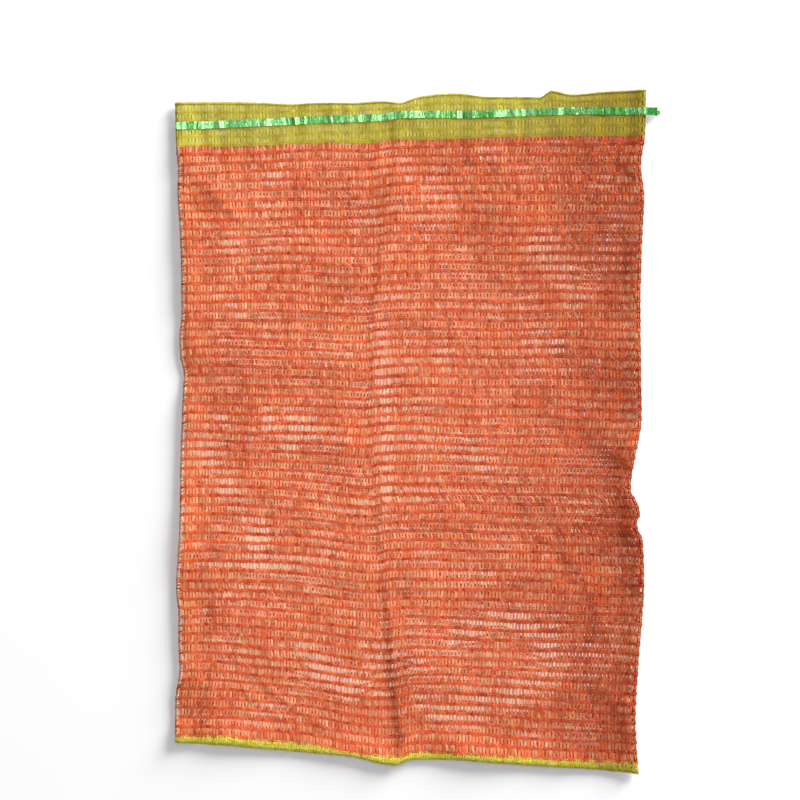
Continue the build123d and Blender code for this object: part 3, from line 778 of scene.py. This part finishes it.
PARTS = 5
cuts = np.linspace(0, ROWS, PARTS + 1).astype(int)
inner = list(range(1, COLS - 1))
for side in ("back", "front"):
    for i in range(PARTS):
        ids = list(range(cuts[i], cuts[i + 1]))
        ob = knit(f"{side}_body_net_{i + 1}", body_point, ROWS, COLS, side,
                  100 + i + (50 if side == "back" else 0), ids, LOOP, RUNG, col_ids=inner)
        add_piece(ob, orange, [f"{side}_body_net"])

# mouth band: the same ladder knit in yellow, with wider yarn
BAND_LOOP = {"half_h": 1.6, "reach": 4.9, "height": 0.16, "w": 2.1, "t": 0.18, "n": 9, "roll": 0.10, "tint": -1.1}
BAND_RUNG = {"from": 0.9, "to": 8.7, "w": 2.9, "t": 0.14, "lean": 0.2, "jitter": 0.10, "tint": 1.5, "spread": 0.25,
             "z": -0.08, "bulge": 0.05, "n": 4, "twist": 0.06, "pair": 0.06}
for side in ("back", "front"):
    ob = knit(f"{side}_mouth_band", band_point, 5, COLS, side, 300 + (side == "back"),
              [0, 1, 2, 3, 4, 5], BAND_LOOP, BAND_RUNG, col_ids=inner, rows_total=5,
              slip=False, col_shift=0.0 if side == "front" else 0.4)
    add_piece(ob, yellow, [f"{side}_band_upper", f"{side}_band_lower"])


def side_piece(name, point, rows_total, row_ids, right, mat, nodes, loop, rung, seed):
    """The outermost stitches of both layers and the yarn that stands on edge where they meet."""
    parts = []
    col = COLS - 1 if right else 0
    for side in ("front", "back"):
        ob = knit("tmp", point, rows_total, COLS, side, seed, row_ids, loop, rung, col_ids=[col],
                  rows_total=rows_total, slip=False)
        me = ob.data
        v = np.zeros(len(me.vertices) * 3)
        me.vertices.foreach_get("co", v)
        q = np.zeros(len(me.loops), np.int32)
        me.loops.foreach_get("vertex_index", q)
        t = np.zeros(len(me.vertices))
        me.attributes["tint"].data.foreach_get("value", t)
        parts.append((v.reshape(-1, 3) / MM, q.reshape(-1, 4), t))
        bpy.data.objects.remove(ob)
        bpy.data.meshes.remove(me)
    # yarn on edge, row to row
    rng = np.random.default_rng(seed + 1)
    n = 3 * int(max(row_ids) - min(row_ids) + 1) * 2
    v0, v1 = min(row_ids) / rows_total, min((max(row_ids) + 1) / rows_total, 1.0)
    vv = np.linspace(v0, v1, n)
    for k in range(3):
        x, y = point(np.full(n, 0.9999 if right else 0.0001), vv)
        d = 0.35 + 0.5 * abs(k - 1)
        x = x + (-d if right else d)
        layer = "front" if k > 0 else "back"
        p = settle(x, y, np.zeros(n), layer, False)
        zf, zb = look_up(front_z, x, y), look_up(back_z, x, y)
        p[:, 2] = (zf + zb) / 2 + (k - 1) * (zf - zb) * 0.22 + rng.normal(0, 0.12, n)
        p[:, 0] += rng.normal(0, 0.18, n)
        st = strand(p, 0.75, 0.14, np.full(n, math.pi / 2) + rng.normal(0, 0.3, n))
        parts.append((st.reshape(-1, 3), strand_quads(n), rng.normal(0, 1, n).repeat(4)))
    ob = join_meshes(name, parts)
    return add_piece(ob, mat, nodes)


all_rows = list(range(ROWS))
side_piece("right_net_fold", body_point, ROWS, all_rows, True, orange, ["right_side_fold"], LOOP, RUNG, 400)
side_piece("left_net_seam", body_point, ROWS, all_rows, False, orange, ["left_seam_allowance"], LOOP, RUNG, 410)
side_piece("right_band_edge", band_point, 5, [0, 1, 2, 3, 4, 5], True, yellow, ["right_band_fold"], BAND_LOOP, BAND_RUNG, 420)
side_piece("left_band_edge", band_point, 5, [0, 1, 2, 3, 4, 5], False, yellow,
           ["left_band_fold_upper", "left_band_fold_lower"], BAND_LOOP, BAND_RUNG, 430)

# a plain thread closes the mouth's edge on both layers
for side in ("front", "back"):
    parts = []
    rng = np.random.default_rng(440 + (side == "back"))
    xs = np.arange(-258.6, 244.6, 1.5)
    ys = mouth_y(xs) - 1.15
    for k in range(2):
        p = settle(xs, ys - 0.7 * k, np.full(len(xs), 0.30 - 0.1 * k), side, False)
        p[:, 2] += rng.normal(0, 0.05, len(xs))
        p[:, 1] += 0.12 * np.sin(xs * 2.4 + k * 2) * (1 - k * 0.5)
        st = strand(p, 0.55, 0.32, rng.normal(0, 0.3, len(xs)))
        parts.append((st.reshape(-1, 3), strand_quads(len(xs)), rng.normal(0.9, 0.5, len(xs)).repeat(4)))
    add_piece(join_meshes(f"{side}_mouth_selvedge", parts), yellow, [f"{side}_band_upper"])

# hem: close rows of yellow stitches on both faces
HEM_LOOP = {"half_h": 1.05, "reach": 4.3, "height": 0.35, "w": 1.3, "t": 0.26, "n": 9, "roll": 0.3}
HEM_RUNG = {"from": -0.4, "to": 2.7, "w": 2.2, "t": 0.2, "lean": 2.2, "jitter": 0.4, "tint": 0.2,
            "z": -0.05, "bulge": 0.1, "n": 4, "twist": 0.3, "pair": 0.1}


def hem_rows(u, v):
    return hem_point(u, 0.10 + v * 0.86)


row_height[hem_rows] = 8.5 / 3.0
for side in ("back", "front"):
    ob = knit(f"{side}_hem_knit", hem_rows, 3, COLS, side,
              500 + (side == "back"), [0, 1, 2, 3], HEM_LOOP, HEM_RUNG, rows_total=3, slip=False)
    add_piece(ob, hem_yellow, [f"{side}_hem"], gather_it=False)


def whip(name, base, n, seed, mat, nodes, w=0.5, t=0.2, lifted=0.35, gather_it=True, skip=0.0):
    """Separate slanted sewing stitches: base(s) -> (x, y) of both ends of stitch s in 0..1, each laid on the front
    layer.
    """
    rng = np.random.default_rng(seed)
    parts = []
    for i in range(n):
        if rng.random() < skip:
            continue
        a, b = base((i + rng.normal(0, 0.18)) / n)
        m = 5
        k = np.linspace(0, 1, m)
        x = a[0] + (b[0] - a[0]) * k
        y = a[1] + (b[1] - a[1]) * k
        p = settle(x, y, lifted * np.sin(k * math.pi) ** 0.6 + 0.05, "front", False)
        st = strand(p, w / 2 * (1 + rng.normal(0, 0.12)), t / 2)
        parts.append((st.reshape(-1, 3), strand_quads(m), rng.normal(0, 1)))
    ob = join_meshes(name, parts)
    return add_piece(ob, mat, nodes, gather_it)


def hem_stitch(q):
    u = np.array([np.clip(q, 0.002, 0.998), np.clip(q + 0.0045, 0.002, 0.998)])
    x, y = hem_point(u, np.array([0.05, 1.10]))
    return (x[0], y[0]), (x[1], y[1])


whip("hem_overlock", hem_stitch, 240, 520, hem_thread_mat, ["hem_seam_thread"], w=0.42, gather_it=False)


def side_stitch(q):
    v = np.array([q, min(q + 0.0035, 1.0)])
    y = -325.0 + (305.0 + 325.0) * v
    x = left_x(y) + np.array([0.6, 3.9])
    return (x[0], y[0]), (x[1], y[1])


whip("side_overlock", side_stitch, 330, 530, thread_mat, ["side_seam_thread"], w=0.7, lifted=0.5, skip=0.12)

# ------------------------------------------------------------------ drawstring
def tape_run(name, x0, x1, layer, seed, extra):
    """A crinkled flat ribbon: narrow facets that each lean their own way."""
    rng = np.random.default_rng(seed)
    xs = [x0]
    while xs[-1] < x1 - 1.4:
        xs.append(xs[-1] + min(max(0.5 * math.exp(rng.normal(0.65, 0.5)), 0.5), 2.6))
    xs[-1] = x1
    xs = np.array(xs)
    n = len(xs)
    m = 5
    across_ = np.linspace(-1, 1, m)
    busy = np.clip(0.5 + 0.55 * np.interp(xs, np.linspace(-280, 280, 60), rng.normal(0, 1, 60)), 0.12, 1.3)
    zig = rng.normal(0, 0.17, n) * busy
    slant = np.interp(xs, np.linspace(-280, 280, 80), rng.normal(-0.35, 0.6, 80))
    x = xs[:, None] + slant[:, None] * across_[None] * 0.8 + rng.normal(0, 0.03, (n, m))
    x[0], x[-1] = xs[0], xs[-1]
    half = TAPE_FLAT * (1 + 0.03 * rng.normal(0, 1, n))
    y = tape_line(x) + across_[None] * half[:, None] + rng.normal(0, 0.04, (n, m))
    xx, yy = np.clip(x, -258.5, 240.0), y
    grid = front_z if layer == "front" else back_z
    base = np.stack([look_up(grid, xx[:, k_], yy[:, k_]) for k_ in range(m)]).max(0)
    k = np.exp(-0.5 * (np.linspace(-2.5, 2.5, 11)) ** 2)
    base = np.convolve(np.pad(base, 5, "edge"), k / k.sum(), "valid")
    z = base[:, None] + extra + zig[:, None] + rng.normal(0, 0.07, (n, 1)) * across_[None]
    top = np.stack([x, y, z], -1)
    return top, n, m, rng


def ribbon_mesh(name, top, thick, seed, wrap=False):
    """A closed thin ribbon from its upper grid (n, m, 3)."""
    rng = np.random.default_rng(seed)
    n, m = top.shape[:2]
    du = np.gradient(top, axis=0)
    dv = np.gradient(top, axis=1)
    nor = np.cross(du, dv)
    nor /= np.linalg.norm(nor, axis=-1, keepdims=True)
    low = top - nor * thick
    v = np.concatenate([top.reshape(-1, 3), low.reshape(-1, 3)])
    i = np.arange(n * m).reshape(n, m)
    j = i + n * m
    q = [np.stack([i[:-1, :-1], i[1:, :-1], i[1:, 1:], i[:-1, 1:]], -1).reshape(-1, 4),
         np.stack([j[:-1, :-1], j[:-1, 1:], j[1:, 1:], j[1:, :-1]], -1).reshape(-1, 4),
         np.stack([i[:-1, 0], j[:-1, 0], j[1:, 0], i[1:, 0]], -1),
         np.stack([i[:-1, -1], i[1:, -1], j[1:, -1], j[:-1, -1]], -1),
         np.stack([i[0, :-1], i[0, 1:], j[0, 1:], j[0, :-1]], -1),
         np.stack([i[-1, :-1], j[-1, :-1], j[-1, 1:], i[-1, 1:]], -1)]
    # painted highlight and shade: facets stand in groups of like tint, light or dark, as if the film leaned one way
    # for a while and caught the light or turned from it
    ends, row_tone_and_painted_light, painted_group_light = 0, np.zeros(n - 1), 0.0
    for i_ in range(n - 1):
        if i_ >= ends:
            ends = i_ + int(rng.integers(2, 8))
            painted_group_light = rng.choice([1.5, 0.9, -0.2, -0.8, -1.7], p=[0.24, 0.14, 0.24, 0.22, 0.16])
        row_tone_and_painted_light[i_] = painted_group_light + rng.normal(0, 0.8)
    # painted shade: darker towards the right and darkest in the tail, and broken up across its width
    at_x = top[:-1, :, 0].mean(1)
    row_tone_and_painted_light -= np.clip((at_x - 90.0) * 0.006, -0.3, 0.75) + 0.4 * (at_x > 246.0)
    ob = quad_mesh(name, v, np.concatenate(q), None, smooth=False)
    faces = (n - 1) * (m - 1)
    tint = np.zeros(len(ob.data.polygons))
    tint[:faces] = tint[faces:2 * faces] = (row_tone_and_painted_light[:, None] + rng.normal(0, 0.75, (n - 1, m - 1))).ravel()
    at = ob.data.attributes.new("tint", "FLOAT", "FACE")
    at.data.foreach_set("value", tint.astype(np.float32))
    return ob


front_lo, front_hi = (np.array(c) * 1000 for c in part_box("drawstring_front_run"))
back_lo, back_hi = (np.array(c) * 1000 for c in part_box("drawstring_back_run"))
bend_lo, bend_hi = (np.array(c) * 1000 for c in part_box("drawstring_left_bend"))
front_grid, n_f, m_f, _ = tape_run("front", front_lo[0], front_hi[0] - 0.3, "front", 600, 0.75)
back_grid, n_b, m_b, _ = tape_run("back", back_lo[0], back_hi[0] - 0.3, "back", 610, 0.0)
back_grid[..., 2] = np.maximum(back_grid[..., 2] - 0.95, 0.16)
# past the cloth the two tails hang down to lie near each other
tail = np.clip((front_grid[..., 0] - 247.5) / 12.0, 0, 1)
front_grid[..., 2] = front_grid[..., 2] * (1 - 0.35 * tail) + 0.7 * np.exp(-((front_grid[..., 0] - 245.5) / 4.0) ** 2)
spread = 1 + 0.35 * tail ** 2
mid_line = front_grid[..., 1].mean(1, keepdims=True)
front_grid[..., 1] = mid_line + (front_grid[..., 1] - mid_line) * spread - 1.0 * tail
tail_b = np.clip((back_grid[..., 0] - 236.0) / 22.0, 0, 1)
back_grid[..., 2] += 1.6 * tail_b
mid_b = back_grid[..., 1].mean(1, keepdims=True)
back_grid[..., 1] = mid_b + (back_grid[..., 1] - mid_b) * (1 - 0.45 * tail_b) - 1.6 * tail_b

for name, grid, nodes, seed in (("drawstring_tape_front", front_grid, ["drawstring_front_run"], 601),
                                ("drawstring_tape_back", back_grid, ["drawstring_back_run"], 611)):
    ob = ribbon_mesh(name, grid, 0.13, seed)
    ob.data.materials.append(tape_mat)
    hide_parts(*nodes)
    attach(ob, "drawstring")

# the bend round the left side, from the front run to the back run
a_sec, b_sec = front_grid[0], back_grid[0]
arc = []
for k in np.linspace(0, 1, 15):
    ang = k * math.pi
    p = a_sec * (0.5 + 0.5 * math.cos(ang)) + b_sec * (0.5 - 0.5 * math.cos(ang))
    p = p.copy()
    p[:, 0] = front_lo[0] - (front_lo[0] - bend_lo[0] - 0.4) * math.sin(ang) + 0.06 * math.sin(ang * 7)
    arc.append(p)
bend_grid = np.array(arc)[::-1]
ob = ribbon_mesh("drawstring_tape_bend", bend_grid, 0.13, 621)
ob.data.materials.append(tape_mat)
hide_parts("drawstring_left_bend")
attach(ob, "drawstring")

# fine threads of the band that hold the tape in its row
for side in ("front", "back"):
    rng = np.random.default_rng(640 + (side == "back"))
    parts = []
    for c in range(3, COLS - 3):
        if side == "front" and rng.random() < 0.25 or side == "back" and c % 2:
            continue
        u = (c + 0.5 + rng.normal(0, 0.15)) / COLS
        x0, _ = band_point(np.array([u]), np.array([0.5]))
        m = 7
        k = np.linspace(-1, 1, m)
        x = x0 + k * rng.normal(0, 0.5) + 0.3 * (c % 2 - 0.5) * k
        mid = tape_line(x)
        y = mid + k * 4.6
        grid = front_z if side == "front" else back_z
        z0 = look_up(grid, x, y)
        hump = (1 - np.abs(k) ** 4)
        z = z0 + (1.18 * hump - 0.1 if side == "front" else -1.0 * hump + 0.1)
        z = np.maximum(z, 0.07)
        st = strand(np.stack([x, y, z], -1), 0.13, 0.06)
        parts.append((st.reshape(-1, 3), strand_quads(m), rng.normal(0, 1)))
    ob = join_meshes(f"{side}_tape_threads", parts)
    add_piece(ob, loop_mat, [f"{side}_tape_loops"])

# strength of the painted glow of the paper under the cloth
GLOW = 0.30
floor_mesh = bpy.data.meshes.new("floor")
floor_mesh.from_pydata([(-6, -6, 0), (6, -6, 0), (6, 6, 0), (-6, 6, 0)], [], [(0, 1, 2, 3)])
floor = bpy.data.objects.new("floor", floor_mesh)
floor.location = (0, 0, -0.0002)
scene.collection.objects.link(floor)
fm, fnt, fout = new_material("floor_paper")
fb = fnt.nodes.new("ShaderNodeBsdfPrincipled")
fb.inputs["Roughness"].default_value = 0.9
fb.inputs["Specular IOR Level"].default_value = 0.0
# painted light: under the cloth the paper glows pink, standing in for light let through the orange mesh, so that the
# openings show bright
geo = fnt.nodes.new("ShaderNodeNewGeometry")
sep = fnt.nodes.new("ShaderNodeSeparateXYZ")
fnt.links.new(geo.outputs["Position"], sep.inputs[0])
mx_ = map_range(fnt, math_node(fnt, "ABSOLUTE", math_node(fnt, "ADD", sep.outputs[0], 0.0075)), 0.226, 0.242, 1.0, 0.0, True)
my_ = map_range(fnt, math_node(fnt, "ABSOLUTE", sep.outputs[1]), 0.318, 0.342, 1.0, 0.0, True)
painted_glow_mask = math_node(fnt, "MULTIPLY", mx_, my_)
fb.inputs["Base Color"].default_value = (0.650, 0.650, 0.655, 1)
fb.inputs["Emission Color"].default_value = (1.0, 0.56, 0.42, 1)
fnt.links.new(math_node(fnt, "MULTIPLY", painted_glow_mask, GLOW), fb.inputs["Emission Strength"])
fnt.links.new(fb.outputs[0], fout.inputs["Surface"])
floor.data.materials.append(fm)


# ------------------------------------------------------------------ light
world = bpy.data.worlds.new("studio")
world.use_nodes = True
world.node_tree.nodes["Background"].inputs[0].default_value = (0.97, 0.95, 1.0, 1)
world.node_tree.nodes["Background"].inputs[1].default_value = 0.27
scene.world = world


def area_light(name, loc, target, size, power, size_y=None):
    d = bpy.data.lights.new(name, "AREA")
    d.energy = power
    d.size = size
    if size_y:
        d.shape = "RECTANGLE"
        d.size_y = size_y
    o = bpy.data.objects.new(name, d)
    o.location = loc
    direction = Vector(target) - Vector(loc)
    o.rotation_euler = direction.to_track_quat("-Z", "Y").to_euler()
    scene.collection.objects.link(o)
    return o


area_light("key", (5.05, 5.4, 2.6), (-0.1, -0.1, 0), 4.4, 1910)
area_light("top", (-0.15, 0.0, 2.95), (-0.1, 0, 0), 2.0, 43, 0.5)
